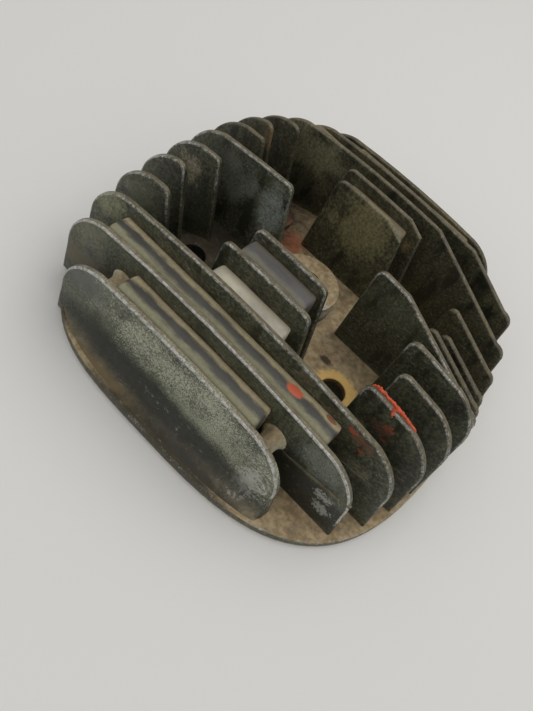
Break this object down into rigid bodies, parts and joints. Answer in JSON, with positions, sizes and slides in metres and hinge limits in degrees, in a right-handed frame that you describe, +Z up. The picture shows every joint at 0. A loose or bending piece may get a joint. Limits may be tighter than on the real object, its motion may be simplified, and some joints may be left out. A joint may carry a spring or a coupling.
{
  "type": "cylinder head",
  "caption": "Air-cooled two-stroke cylinder head with parallel fins, stud wells, a spark plug well and rubber dampers between the fins.",
  "frame": {"origin": "centre of the four stud holes on the gasket face, on the cylinder axis", "axes": "+Z up the spark plug hole, away from the cylinder; +X along the fins towards the lowered shoulders"},
  "size_m": [0.157, 0.168, 0.052],
  "materials": {
    "painted_casting": "worn black paint over cast aluminium",
    "bare_alloy": "machined",
    "damper_rubber": "dusty matt"
  },
  "bodies": {
    "root": {"base_plate": "painted_casting", "plug_boss": "bare_alloy", "bridge_posts": "painted_casting", "fin_01": "painted_casting", "fin_02": "painted_casting", "fin_03": "painted_casting", "fin_04": "painted_casting", "fin_05": "painted_casting", "fin_06": "painted_casting", "fin_07": "painted_casting", "fin_08": "painted_casting", "fin_09": "painted_casting", "fin_10": "painted_casting", "fin_11": "painted_casting", "fin_12": "painted_casting", "fin_13": "painted_casting", "damper_front_1": "damper_rubber", "damper_front_2": "damper_rubber", "damper_front_3": "damper_rubber", "damper_front_4": "damper_rubber", "damper_back_4": "damper_rubber", "damper_back_3": "damper_rubber", "damper_back_2": "damper_rubber", "damper_back_1": "damper_rubber"}
  },
  "joints": []
}
